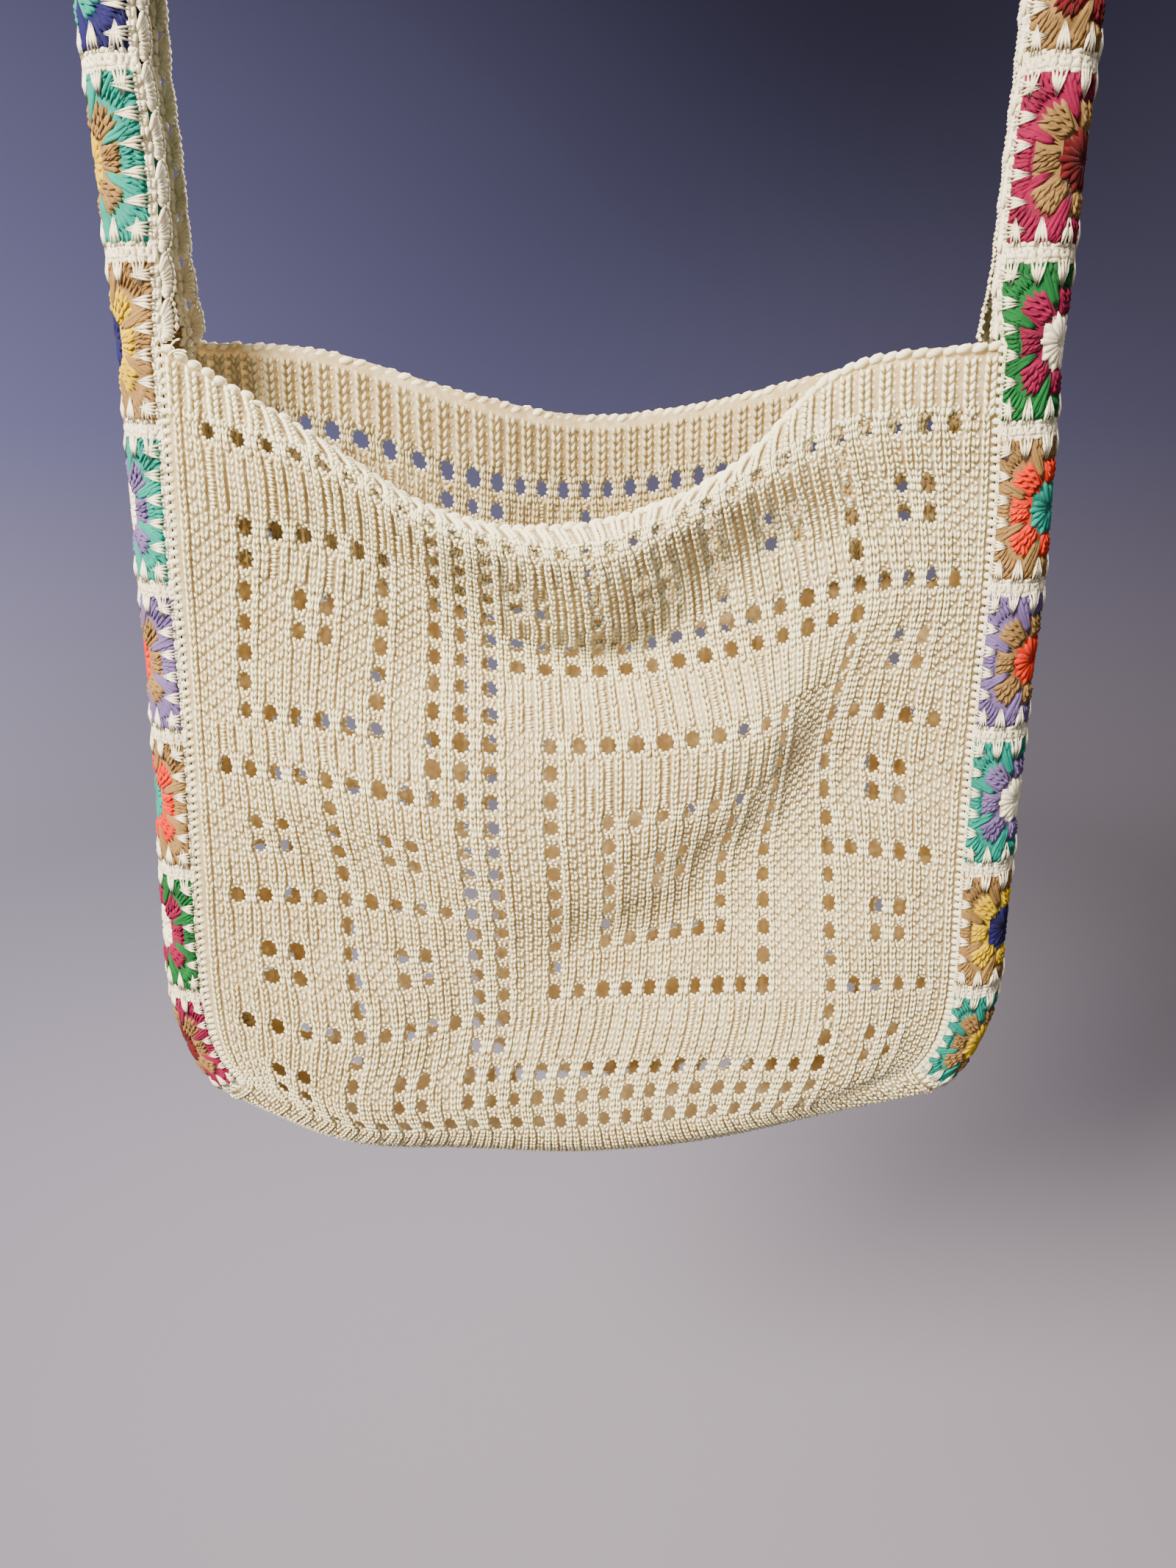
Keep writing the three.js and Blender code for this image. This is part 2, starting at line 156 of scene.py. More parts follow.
strip = {
    "squareLength": 59.0,
    "width": 59.0,
    "wall": 2.6,
    "squares": 25,
    "strapSquares": 14,
    "gap": 0.4,
    "scallop": 1.2,
}
bag = {
    "width": 347.0,
    "depth": 60.0,
    "seamGap": 0.7,
    "rimBand": 25.0,
    "footBand": 32.0,
    "columns": 29,
    "rows": 26,
    "rowSpacing": 11.4,
    "columnSpacing": 10.6,
    "sideMargin": 1.4,
}

halfStrip = strip["width"] / 2
strapHalf = strip["strapSquares"] * strip["squareLength"] / 2
stripHalf = strip["squares"] * strip["squareLength"] / 2
sideLength = stripHalf - strapHalf
archRadius = bag["width"] / 2 - strip["wall"] / 2
quarterArch = archRadius * math.pi / 2
topHeight = strip["wall"] / 2
rimHeight = topHeight - archRadius - (strapHalf - quarterArch)
panelHeight = bag["rimBand"] + (bag["rows"] - 1) * bag["rowSpacing"] + bag["footBand"]
panelWidth = (bag["columns"] - 1 + 2 * bag["sideMargin"]) * bag["columnSpacing"]
cornerShare = sideLength / (sideLength + halfStrip)

# down, then the lean of the left and the right side in degrees
sideLean = np.array([
    (0.00, 0, 0), (0.10, 3, 4), (0.30, 1.5, 0.5), (0.60, 4, 2), (0.80, 1, 1), (0.90, -12, -14), (1.00, -40, -42),
], float)
# along, then how far the left and the right half of the strip are folded round in degrees
stripFold = np.array([
    (0.00, 35, 35), (0.30, 98, 130), (0.49, 108, 136), (0.56, 90, 123), (0.95, 88, 118), (1.00, 90, 118),
], float)
# along, then how far the left and the right of the strip bulge outwards at the middle
stripBulge = np.array([
    (0.00, 0.0, 0.0), (0.25, 0.0, 0.5), (0.56, 0.8, 2.8), (0.75, 1.0, 3.2), (0.90, 1.4, 2.4), (1.00, 0.0, 0.0),
], float)
# down, then five shares across, five ahead of the middle and five of the drop
footSection = (1.000, 0.160, 0.335, 0.505, 0.670, 0.825, 0.00, 0.00, 0.00, 0.00, 0.00, 1.088, 1.101, 1.107, 1.088, 1.046)
frontSections = np.array([
    (0.000, 0.142, 0.315, 0.488, 0.675, 0.816, 0.07, 0.15, 0.15, 0.13, 0.17, 0.094, 0.190, 0.206, 0.148, 0.027),
    (0.073, 0.180, 0.342, 0.503, 0.650, 0.810, 0.42, 0.55, 0.54, 0.50, 0.34, 0.126, 0.202, 0.225, 0.169, 0.097),
    (0.173, 0.179, 0.339, 0.516, 0.670, 0.835, 0.24, 0.22, 0.28, 0.23, 0.23, 0.217, 0.276, 0.312, 0.248, 0.189),
    (0.257, 0.168, 0.336, 0.518, 0.687, 0.848, 0.26, 0.08, 0.00, 0.21, 0.29, 0.312, 0.354, 0.374, 0.333, 0.286),
    (0.373, 0.161, 0.339, 0.531, 0.706, 0.829, 0.38, 0.37, 0.38, 0.43, 0.25, 0.430, 0.459, 0.463, 0.440, 0.395),
    (0.473, 0.170, 0.343, 0.533, 0.703, 0.821, 0.44, 0.50, 0.43, 0.34, 0.16, 0.539, 0.565, 0.561, 0.536, 0.496),
    (0.573, 0.180, 0.351, 0.537, 0.690, 0.832, 0.30, 0.36, 0.31, 0.15, 0.19, 0.639, 0.664, 0.664, 0.627, 0.611),
    (0.673, 0.187, 0.355, 0.534, 0.692, 0.837, 0.32, 0.23, 0.09, 0.11, 0.27, 0.755, 0.765, 0.757, 0.733, 0.726),
    (0.773, 0.196, 0.356, 0.526, 0.686, 0.840, 0.40, 0.20, 0.14, 0.26, 0.36, 0.873, 0.868, 0.868, 0.852, 0.836),
    (0.873, 0.166, 0.334, 0.502, 0.669, 0.832, 0.41, 0.34, 0.25, 0.29, 0.41, 0.982, 0.983, 0.982, 0.965, 0.945),
    (0.940, 0.166, 0.338, 0.505, 0.670, 0.832, 0.26, 0.25, 0.24, 0.25, 0.25, 1.045, 1.053, 1.057, 1.039, 1.007),
    footSection,
])
backSections = np.array([
    (0.000, 0.160, 0.345, 0.500, 0.660, 0.820, 0.37, 0.50, 0.70, 0.70, 0.50, 0.008, 0.058, 0.086, 0.071, 0.034),
    (0.073, 0.160, 0.345, 0.500, 0.660, 0.820, 0.37, 0.50, 0.67, 0.67, 0.48, 0.099, 0.159, 0.179, 0.160, 0.123),
    (0.250, 0.166, 0.335, 0.500, 0.665, 0.830, 0.43, 0.57, 0.70, 0.67, 0.47, 0.284, 0.339, 0.361, 0.345, 0.305),
    (0.500, 0.166, 0.333, 0.500, 0.667, 0.833, 0.50, 0.63, 0.70, 0.63, 0.43, 0.545, 0.601, 0.623, 0.607, 0.567),
    (0.750, 0.166, 0.333, 0.500, 0.667, 0.833, 0.47, 0.57, 0.57, 0.53, 0.40, 0.807, 0.860, 0.878, 0.866, 0.826),
    (0.930, 0.166, 0.335, 0.503, 0.668, 0.832, 0.27, 0.27, 0.27, 0.27, 0.25, 1.020, 1.035, 1.048, 1.030, 0.990),
    footSection,
])


# What two neighbouring places of a smooth curve count for: value and slope here, value and slope there.
def curveWeights(t):
    return 2 * t**3 - 3 * t**2 + 1, t**3 - 2 * t**2 + t, 3 * t**2 - 2 * t**3, t**3 - t**2


# A smooth curve through the rows of a table; each row's slope comes from its neighbours.
def alongTable(table, at):
    places, values = table[:, 0], table[:, 1:]
    last = len(places) - 1
    row = np.arange(last + 1)
    before, after = np.maximum(row - 1, 0), np.minimum(row + 1, last)
    slope = (values[after] - values[before]) / (places[after] - places[before])[:, None]
    k = np.searchsorted(places[1:-1], at)
    span = (places[k + 1] - places[k])[..., None]
    t = np.clip((at - places[k])[..., None] / span, 0, 1)
    here, leave, there, reach = curveWeights(t)
    return here * values[k] + leave * span * slope[k] + there * values[k + 1] + reach * span * slope[k + 1]


# The sides of the bag below the strap, walked in steps of 1 mm along their leans.
def walkSides():
    steps = np.arange(0.5, sideLength + strip["width"], 1.0)
    lean = np.radians(alongTable(sideLean, np.minimum(steps / sideLength, 1)))
    start = np.zeros((1, 2))
    across = archRadius + np.concatenate([start, np.cumsum(np.sin(lean), axis=0)])
    height = rimHeight - np.concatenate([start, np.cumsum(np.cos(lean), axis=0)])
    return across, height


sideAcross, sideHeight = walkSides()


# The fold line of the strip: its place in the middle plane and the way to the inside of the loop.
def foldLine(fromTop):
    sign = np.where(fromTop < 0, -1.0, 1.0)
    distance = np.abs(fromTop)
    angle = np.minimum(distance, quarterArch) / archRadius
    x = archRadius * np.sin(angle)
    z = topHeight - archRadius * (1 - np.cos(angle)) - np.clip(distance - quarterArch, 0, strapHalf - quarterArch)
    inX, inZ = -np.sin(angle), -np.cos(angle)
    inZ = np.where(distance > quarterArch, 0.0, inZ)
    below = distance - strapHalf
    lean = np.radians(alongTable(sideLean, np.clip(below / sideLength, 0, 1)))
    walked = np.arange(len(sideAcross))
    for side, way in ((0, -1), (1, 1)):
        here = (below > 0) & (sign == way)
        x = np.where(here, np.interp(below, walked, sideAcross[:, side]), x)
        z = np.where(here, np.interp(below, walked, sideHeight[:, side]), z)
        inX = np.where(here, -np.cos(lean[..., side]), inX)
        inZ = np.where(here, -np.sin(lean[..., side]), inZ)
    return sign * x, z, sign * inX, inZ


# The value of a strip table on its own side of the top.
def alongStrip(table, fromTop):
    found = alongTable(table, np.minimum(np.abs(fromTop) / stripHalf, 1))
    return np.where(fromTop < 0, found[..., 0], found[..., 1])


def foldAngle(fromTop):
    return np.radians(alongStrip(stripFold, fromTop))


# A place on the folded strip, at an angle from its fold line and lifted off it.
def stripPoint(fromTop, angle, lift):
    x, z, inX, inZ = foldLine(fromTop)
    radius = halfStrip / foldAngle(fromTop)
    inward = radius - (radius + lift) * np.cos(angle)
    return np.stack([x + inX * inward, -(radius + lift) * np.sin(angle), z + inZ * inward], -1)


# Where a panel's side meets the strip, and round the corner the strip's end.
def sidePlace(down, sign, facing):
    end = sign * (stripHalf + bag["seamGap"])
    endFold = foldAngle(np.full(down.shape, sign * stripHalf))
    edge = endFold * (1 + bag["seamGap"] / halfStrip)
    left = 1 - (down - cornerShare) / (1 - cornerShare)
    least = bag["seamGap"] * endFold / strip["width"]
    fromTop = sign * (strapHalf + (sideLength + bag["seamGap"]) * down / cornerShare)
    here = foldAngle(fromTop) * (1 + bag["seamGap"] / halfStrip)
    below = down > cornerShare
    return (np.where(below, end, fromTop),
            facing * np.where(below, np.maximum(edge * left, least), here))


# A panel's middle surface, through the strip at both sides and five stations between them.
def panelPoint(sections, facing, across, down):
    sides = []
    for sign in (-1, 1):
        fromTop, angle = sidePlace(down, sign, facing)
        sides.append(stripPoint(fromTop, angle, 0.0))
    row = alongTable(sections, down)
    stations = np.empty(down.shape + (7, 3))
    stations[..., 0, :], stations[..., 6, :] = sides
    first, stop = sides[0][..., 0:1], sides[1][..., 0:1]
    stations[..., 1:6, 0] = first + row[..., 0:5] * (stop - first)
    stations[..., 1:6, 1] = -facing * np.maximum(row[..., 5:10] * bag["depth"], bag["seamGap"] / 2)
    stations[..., 1:6, 2] = rimHeight - row[..., 10:15] * sideLength
    k = np.clip(np.ceil(across * 6).astype(int) - 1, 0, 5)
    t = (across * 6 - k)[..., None]

    def station(i):
        return np.take_along_axis(stations, i[..., None, None], axis=-2)[..., 0, :]

    def slope(i):
        before, after = np.maximum(i - 1, 0), np.minimum(i + 1, 6)
        return (station(after) - station(before)) / (after - before)[..., None]

    here, leave, there, reach = curveWeights(t)
    return here * station(k) + leave * slope(k) + there * station(k + 1) + reach * slope(k + 1)


# A panel's middle surface and outward direction, kept on a grid two millimetres apart.
def drapePanel(sections, facing):
    across, down = np.meshgrid(np.linspace(0, 1, 164), np.linspace(0, 1, 172))
    points = panelPoint(sections, facing, across, down)
    fall = np.gradient(points, axis=0)
    along = np.gradient(points, axis=1)
    outward = facing * np.cross(fall, along)
    outward /= np.linalg.norm(outward, axis=-1, keepdims=True)
    return {"points": points, "outward": outward}


# Flat knitting, x across from the left side and y down from the rim in mm, is put on a draped panel.
def onPanel(drape, x, y, lift):
    rows, columns = drape["points"].shape[:2]
    u = np.clip(x / panelWidth, 0, 1) * (columns - 1)
    v = np.clip(y / panelHeight, 0, 1) * (rows - 1)
    i, j = np.minimum(u.astype(int), columns - 2), np.minimum(v.astype(int), rows - 2)
    a, b = (u - i)[..., None], (v - j)[..., None]

    def blended(grid):
        return ((1 - b) * ((1 - a) * grid[j, i] + a * grid[j, i + 1])
                + b * ((1 - a) * grid[j + 1, i] + a * grid[j + 1, i + 1]))

    outward = blended(drape["outward"])
    outward /= np.linalg.norm(outward, axis=-1, keepdims=True)
    return blended(drape["points"]) + outward * np.asarray(lift)[..., None], outward


frontDrape = drapePanel(frontSections, 1)
backDrape = drapePanel(backSections, -1)
print("drapes ready")


# The points, triangles and material numbers of a shape made with operators.
def asArrays(shape):
    bmesh.ops.triangulate(shape, faces=shape.faces)
    shape.verts.index_update()
    points = np.array([v.co for v in shape.verts])
    faces = np.array([[v.index for v in f.verts] for f in shape.faces])
    materials = np.array([f.material_index for f in shape.faces])
    shape.free()
    return points, faces, materials


# A closed seed of yarn, 1 long and 1 across. Thousands of copies make the stitches.
def seedShape(around, along):
    shape = bmesh.new()
    bmesh.ops.create_uvsphere(shape, u_segments=around, v_segments=along, radius=0.5)
    bmesh.ops.rotate(shape, verts=shape.verts, matrix=Matrix.Rotation(math.radians(-90), 3, "X"))
    return asArrays(shape)[:2]


stitchSeed = seedShape(4, 2)     # 8 triangles
strandSeed = seedShape(6, 3)     # 24 triangles
roundSeed = seedShape(6, 4)      # 36 triangles


# Copies of a seed from starts to ends, flattened along outward.
def strands(seed, starts, ends, outward, width, thickness):
    points, faces = seed
    along = ends - starts
    length = np.linalg.norm(along, axis=-1, keepdims=True)
    along = along / length
    side = np.cross(along, outward)
    side /= np.linalg.norm(side, axis=-1, keepdims=True)
    up = np.cross(side, along)
    count = len(starts)
    width = np.broadcast_to(width, (count,))[:, None, None]
    thickness = np.broadcast_to(thickness, (count,))[:, None, None]
    middle = (starts + ends) / 2
    made = (middle[:, None] + points[None, :, 1:2] * length[:, None] * along[:, None]
            + points[None, :, 0:1] * width * side[:, None]
            + points[None, :, 2:3] * thickness * up[:, None])
    order = faces[None] + (np.arange(count) * len(points))[:, None, None]
    return made.reshape(-1, 3), order.reshape(-1, 3)


# One mesh object in metres from several lots of strands, each with its own material.
def joinedPiece(name, lots, materials):
    points, faces, slots, offset = [], [], [], 0
    for made, order, slotIndex in lots:
        points.append(made)
        faces.append(order + offset)
        slots.append(np.full(len(order), slotIndex))
        offset += len(made)
    points, faces, slots = np.concatenate(points) * mm, np.concatenate(faces), np.concatenate(slots)
    mesh = bpy.data.meshes.new(name)
    mesh.vertices.add(len(points))
    mesh.vertices.foreach_set("co", points.astype(np.float32).ravel())
    mesh.loops.add(faces.size)
    mesh.loops.foreach_set("vertex_index", faces.astype(np.int32).ravel())
    mesh.polygons.add(len(faces))
    mesh.polygons.foreach_set("loop_start", np.arange(0, faces.size, 3, dtype=np.int32))
    mesh.polygons.foreach_set("material_index", slots.astype(np.int32))
    mesh.polygons.foreach_set("use_smooth", np.full(len(faces), True))
    mesh.update(calc_edges=True)
    mesh.validate()
    for material in materials:
        mesh.materials.append(material)
    piece = bpy.data.objects.new(name, mesh)
    bpy.context.scene.collection.objects.link(piece)
    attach(piece, "root")
    return piece


# Motifs of the openwork by column and row, both counted from the first eyelet at the left under the rim band.
# Many come again five columns or five rows on.
eyeletBlocks = [
    # first column, last column, first row, last row, times across, times down
    (0, 28, 0, 0, 1, 1),
    (8, 8, 1, 10, 1, 1),
    (9, 10, 1, 25, 1, 1),
    (11, 24, 5, 6, 1, 1),
    (24, 24, 1, 25, 1, 1),
    (14, 14, 1, 4, 2, 1),
    (11, 12, 2, 3, 3, 1),
    (25, 28, 5, 5, 1, 4),
    (26, 27, 2, 3, 1, 5),
    (16, 17, 14, 15, 1, 1),
    (11, 24, 23, 25, 1, 1),
    (3, 4, 5, 6, 1, 1),
    (0, 8, 11, 11, 1, 3),
    (1, 8, 25, 25, 1, 1),
    (4, 4, 12, 15, 1, 2),
    (4, 4, 22, 24, 1, 1),
    (1, 2, 13, 14, 2, 3),
]
eyeletRings = [
    # first column, last column, first row, last row
    (12, 21, 9, 20),
    (14, 19, 12, 18),
    (1, 6, 3, 9),
]


def eyeletChart():
    chart = np.zeros((bag["columns"], bag["rows"]), bool)
    for firstColumn, lastColumn, firstRow, lastRow, across, down in eyeletBlocks:
        for right in range(0, 5 * across, 5):
            for below in range(0, 5 * down, 5):
                chart[firstColumn + right:lastColumn + right + 1, firstRow + below:lastRow + below + 1] = True
    for firstColumn, lastColumn, firstRow, lastRow in eyeletRings:
        block = chart[firstColumn:lastColumn + 1, firstRow:lastRow + 1]
        block[0, :] = block[-1, :] = True
        block[:, 0] = block[:, -1] = True
    return chart


openEyelets = eyeletChart()
eyeletWide = random.uniform(0.86, 1.16, openEyelets.shape)     # handwork: no two eyelets are the same
eyeletTall = random.uniform(0.90, 1.14, openEyelets.shape)
print("eyelets in a panel:", int(openEyelets.sum()))

knit = {
    "waleSpacing": bag["columnSpacing"] / 3,
    "courseSpacing": bag["rowSpacing"] / 4,
    "legWidth": 1.55,
    "legThickness": 1.8,
    "proud": 0.95,          # how far the stitches stand off the cloth in a rib
    "between": -0.1,        # between two ribs
    "plain": 0.75,          # in the plain wales beside eyelets and at the sides
    "moss": 0.2,            # and in the moss stitch
    "unevenLift": 0.08,
    "unevenAcross": 0.10,
    "unevenDown": 0.12,
    "push": 2.3,            # how far an eyelet pushes its neighbours aside
    "pushReach": 4.0,
    "eyeletAcross": 3.5,    # half axes of the ring of loops round an eyelet
    "eyeletDown": 4.3,
    "loops": 10,            # in each ring
    "loopSize": 1.9,
    "innerLoopSize": 1.8,
    "innerLoopRows": 6,     # the inside is only seen over the rim
    "innerCourses": 22,
}


def eyeletPlace(column, row):
    return ((bag["sideMargin"] + column) * bag["columnSpacing"], bag["rimBand"] + row * bag["rowSpacing"])


def nearestEyelet(x, y):
    return (np.rint(x / bag["columnSpacing"] - bag["sideMargin"]).astype(int),
            np.rint((y - bag["rimBand"]) / bag["rowSpacing"]).astype(int))


# Whether the chart has an eyelet there. Outside the chart there is none.
def isOpen(column, row):
    inside = (column >= 0) & (column < bag["columns"]) & (row >= 0) & (row < bag["rows"])
    return inside & openEyelets[np.clip(column, 0, bag["columns"] - 1), np.clip(row, 0, bag["rows"] - 1)]


# The knitting gives way round each eyelet.
def giveWay(x, y):
    nearColumn, nearRow = nearestEyelet(x, y)
    shiftX, shiftY = np.zeros_like(x), np.zeros_like(y)
    for a in (-1, 0, 1):
        for b in (-1, 0, 1):
            column, row = nearColumn + a, nearRow + b
            centreX, centreY = eyeletPlace(column, row)
            dx, dy = x - centreX, y - centreY
            distance = np.maximum(np.hypot(dx, dy), 0.3)
            push = knit["push"] * np.exp(-((distance / knit["pushReach"]) ** 2))
            push = np.where(isOpen(column, row), push, 0.0)
            shiftX += push * dx / distance
            shiftY += push * dy / distance
    return x + shiftX, y + shiftY


# Where the chart has ribs: every other wale stands proud. Elsewhere it is moss stitch, with plain wales
# beside the eyelets.
ribZones = [
    # first column, last column, first row, last row
    (11, 24, 0.4, 4.6),
    (11, 24, 6.4, 8.6),
    (13, 20, 9.4, 11.6),
    (11, 24, 20.6, 22.6),
    (0, 8, 0.4, 2.6),
    (2, 5, 3.6, 4.6),
    (0, 8, 9.5, 10.6),
]


def stitchKinds(column, row, wale, course):
    ribbed = np.zeros(column.shape, bool)
    for firstColumn, lastColumn, firstRow, lastRow in ribZones:
        across = (column > firstColumn - 0.5) & (column < lastColumn + 0.5)
        ribbed |= across & (row > firstRow) & (row < lastRow)
    moss = (wale + course) % 2 == 0
    proud = wale % 2 == 0
    side = (column < -0.7) | (column > bag["columns"] - 0.3)
    return ribbed, moss, proud, side


def flatPoints(x, y, lift):
    return np.stack(np.broadcast_arrays(x, y, lift), -1)


# The wales on both sides of an eyelet, from the course over it to the course under it.
def besideEyelet(column, row):
    nearRow = np.rint(row).astype(int)
    beside = np.zeros(column.shape, bool)
    for way in (-1, 1):
        whole = np.rint(column - way / 3).astype(int)
        onWale = np.abs(column - way / 3 - whole) < 0.1
        for step in (-1, 0, 1):
            beside |= onWale & isOpen(whole, nearRow + step)
    return beside


# All the stitches of a panel in its first courses, as starts, ends and outward directions.
def knitLegs(drape, courses, face):
    wales = np.arange(-4, 3 * bag["columns"] + 3)
    wale, course = [g.ravel() for g in np.meshgrid(wales, np.arange(courses))]
    x = (bag["sideMargin"] + (wale - 1) / 3) * bag["columnSpacing"]
    y = bag["rimBand"] + (course - 1.5) * knit["courseSpacing"]
    keep = (x > 1.2) & (x < panelWidth - 1.2) & (y < panelHeight - 1.0)
    column, row = (wale - 1) / 3, (course - 1.5) / 4
    whole, wholeRow = np.rint(column).astype(int), np.rint(row).astype(int)
    keep &= ~(isOpen(whole, wholeRow) & (np.abs(column - whole) < 0.1) & (np.abs(row - wholeRow) < 0.3))
    x, y, column, row, wale, course = [g[keep] for g in (x, y, column, row, wale, course)]
    ribbed, moss, proud, side = stitchKinds(column, row, wale, course)
    beside = besideEyelet(column, row)
    purl = np.where(ribbed, ~proud, moss) & ~beside & ~side
    lift = np.where(ribbed & proud, knit["proud"], np.where(
        ribbed, knit["between"], np.where(beside | side, knit["plain"], knit["moss"])))
    lift = lift + random.normal(0, knit["unevenLift"], x.shape)
    x = x + random.normal(0, knit["unevenAcross"], x.shape)
    y = y + random.normal(0, knit["unevenDown"], x.shape)
    starts, ends = [], []
    for way in (-1, 1):
        knitStart = flatPoints(x + way * 0.25, y + 2.3, lift - 0.30)
        knitEnd = flatPoints(x + way * 1.15, y - 2.0, lift + 0.15)
        purlStart = flatPoints(x + way * 0.8 - 0.75, y + way * 0.5 - 0.85, lift + 0.2)
        purlEnd = flatPoints(x + way * 0.8 + 0.75, y + way * 0.5 + 0.85, lift + 0.2)
        # in a rib the purl stitches lie across, one bar over the other
        bar = flatPoints(x, y + way * 0.72, lift + 0.42 - 0.18 * way)
        purlStart = np.where(ribbed[:, None], bar - (1.55, 0.3 * way, 0), purlStart)
        purlEnd = np.where(ribbed[:, None], bar + (1.55, 0.3 * way, 0), purlEnd)
        starts.append(np.where(purl[:, None], purlStart, knitStart))
        ends.append(np.where(purl[:, None], purlEnd, knitEnd))
    return placeLegs(drape, np.concatenate(starts), np.concatenate(ends), face)


# Flat starts and ends, put on a panel's outside or inside.
def putLegs(drape, start, end, face):
    first = onPanel(drape, start[:, 0], start[:, 1], face * start[:, 2])[0]
    last, outward = onPanel(drape, end[:, 0], end[:, 1], face * end[:, 2])
    return first, last, outward * face


# The same, after they give way round the eyelets.
def placeLegs(drape, start, end, face):
    base = knit["legThickness"] * 0.32
    given = [flatPoints(*giveWay(flat[:, 0], flat[:, 1]), base + flat[:, 2]) for flat in (start, end)]
    return putLegs(drape, *given, face)


# The rings of loops round the eyelets.
def ringLegs(drape, face, lastRow):
    column, row = np.nonzero(openEyelets[:, :lastRow])
    centreX, centreY = eyeletPlace(column, row)
    turns = knit["loops"]
    angle = (np.arange(turns) + 0.5) / turns * 2 * math.pi
    half = math.pi / turns * 1.04
    jitter = random.normal(0, 0.10, (len(column), turns, 1))
    wide = knit["eyeletAcross"] * eyeletWide[column, row][:, None]
    tall = knit["eyeletDown"] * eyeletTall[column, row][:, None]
    flat = []
    for way in (-1, 1):
        turn = angle + way * half
        x = centreX[:, None] + wide * np.cos(turn) * (1 - 0.16 * np.sin(turn) ** 2)
        y = centreY[:, None] + tall * np.sin(turn)
        flat.append((flatPoints(x, y, 0.1) + jitter).reshape(-1, 3))
    return putLegs(drape, *flat, face)


ground = {
    "wall": 0.8,
    "rimLines": [0.0, 7.0, 14.0],
    "footLine": 14.0,       # up from the foot
    "holeAcross": 0.84,     # of the ring's half axes
    "holeDown": 0.86,
}


# A smooth object from an edited shape.
def smoothPiece(name, shape, material):
    mesh = bpy.data.meshes.new(name)
    shape.to_mesh(mesh)
    shape.free()
    for face in mesh.polygons:
        face.use_smooth = True
    mesh.materials.append(material)
    piece = bpy.data.objects.new(name, mesh)
    bpy.context.scene.collection.objects.link(piece)
    return piece


# The thin continuous cloth behind the stitches, cut through at every eyelet.
def groundSheet(name, drape, node, facing):
    sheet = bmesh.new()
    xs = [0.0] + [(bag["sideMargin"] + (k - 0.5) / 3) * bag["columnSpacing"]
                  for k in range(-3, 3 * bag["columns"] + 2)]
    xs = [x for x in xs if 0 <= x < panelWidth - 0.8] + [panelWidth]
    ys = ground["rimLines"] + [bag["rimBand"] + (k - 0.5) * bag["rowSpacing"] / 2
                               for k in range(-1, 2 * bag["rows"] + 1)]
    ys = [y for y in ys if y < panelHeight - 2] + [panelHeight - ground["footLine"], panelHeight]
    ys = sorted(set(ys))
    bmesh.ops.create_grid(sheet, x_segments=len(xs) - 1, y_segments=len(ys) - 1, size=0.5)
    sheet.verts.ensure_lookup_table()
    spots = np.array([v.co[:2] for v in sheet.verts])
    i = np.rint((spots[:, 0] + 0.5) * (len(xs) - 1)).astype(int)
    j = np.rint((0.5 - spots[:, 1]) * (len(ys) - 1)).astype(int)
    x, y = np.array(xs)[i], np.array(ys)[j]
    doomed = []
    for face in sheet.faces:
        corners = [v.index for v in face.verts]
        column = x[corners].mean() / bag["columnSpacing"] - bag["sideMargin"]
        row = (y[corners].mean() - bag["rimBand"]) / bag["rowSpacing"]
        whole, wholeRow = round(column), round(row)
        if abs(column - whole) < 0.1 and abs(row - wholeRow) < 0.1 and isOpen(whole, wholeRow):
            doomed.append(face)
    bmesh.ops.delete(sheet, geom=doomed, context="FACES_ONLY")
    givenX, givenY = giveWay(x, y)
    column, row = nearestEyelet(x, y)
    column, row = np.clip(column, 0, bag["columns"] - 1), np.clip(row, 0, bag["rows"] - 1)
    centreX, centreY = eyeletPlace(column, row)
    corner = (openEyelets[column, row] & (np.abs(x - centreX) < knit["waleSpacing"] * 0.6)
              & (np.abs(y - centreY) < bag["rowSpacing"] * 0.3))
    wide = knit["eyeletAcross"] * ground["holeAcross"] * eyeletWide[column, row]
    tall = knit["eyeletDown"] * ground["holeDown"] * eyeletTall[column, row]
    givenX = np.where(corner, centreX + np.sign(x - centreX) * wide, givenX)
    givenY = np.where(corner, centreY + np.sign(y - centreY) * tall, givenY)
    border = (x <= 0) | (x >= panelWidth) | (y <= 0) | (y >= panelHeight)
    givenX, givenY = np.where(border, x, givenX), np.where(border, y, givenY)
    points = onPanel(drape, givenX, givenY, np.zeros(len(x)))[0]
    for vertex, point in zip(sheet.verts, points * mm):
        vertex.co = point
    if facing < 0:
        bmesh.ops.reverse_faces(sheet, faces=sheet.faces)
    piece = smoothPiece(name, sheet, creamGroundShaded)
    wall = piece.modifiers.new("wall", "SOLIDIFY")
    wall.thickness = ground["wall"] * mm
    wall.offset = 0.0
    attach(piece, "root")
    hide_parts(node)


rim = {
    "ribs": 45,
    "courses": 7,
    "firstCourse": 5.0,
    "coursePitch": 2.75,
    "legWidth": 2.3,
    "legThickness": 2.0,
    "knobs": 64,            # bound-off stitches along the edge
    "knobLength": 5.9,
    "knobWidth": 3.5,
    "knobThickness": 3.9,
    "knobTilt": 0.9,
    "yarnEnd": 0.9,
}


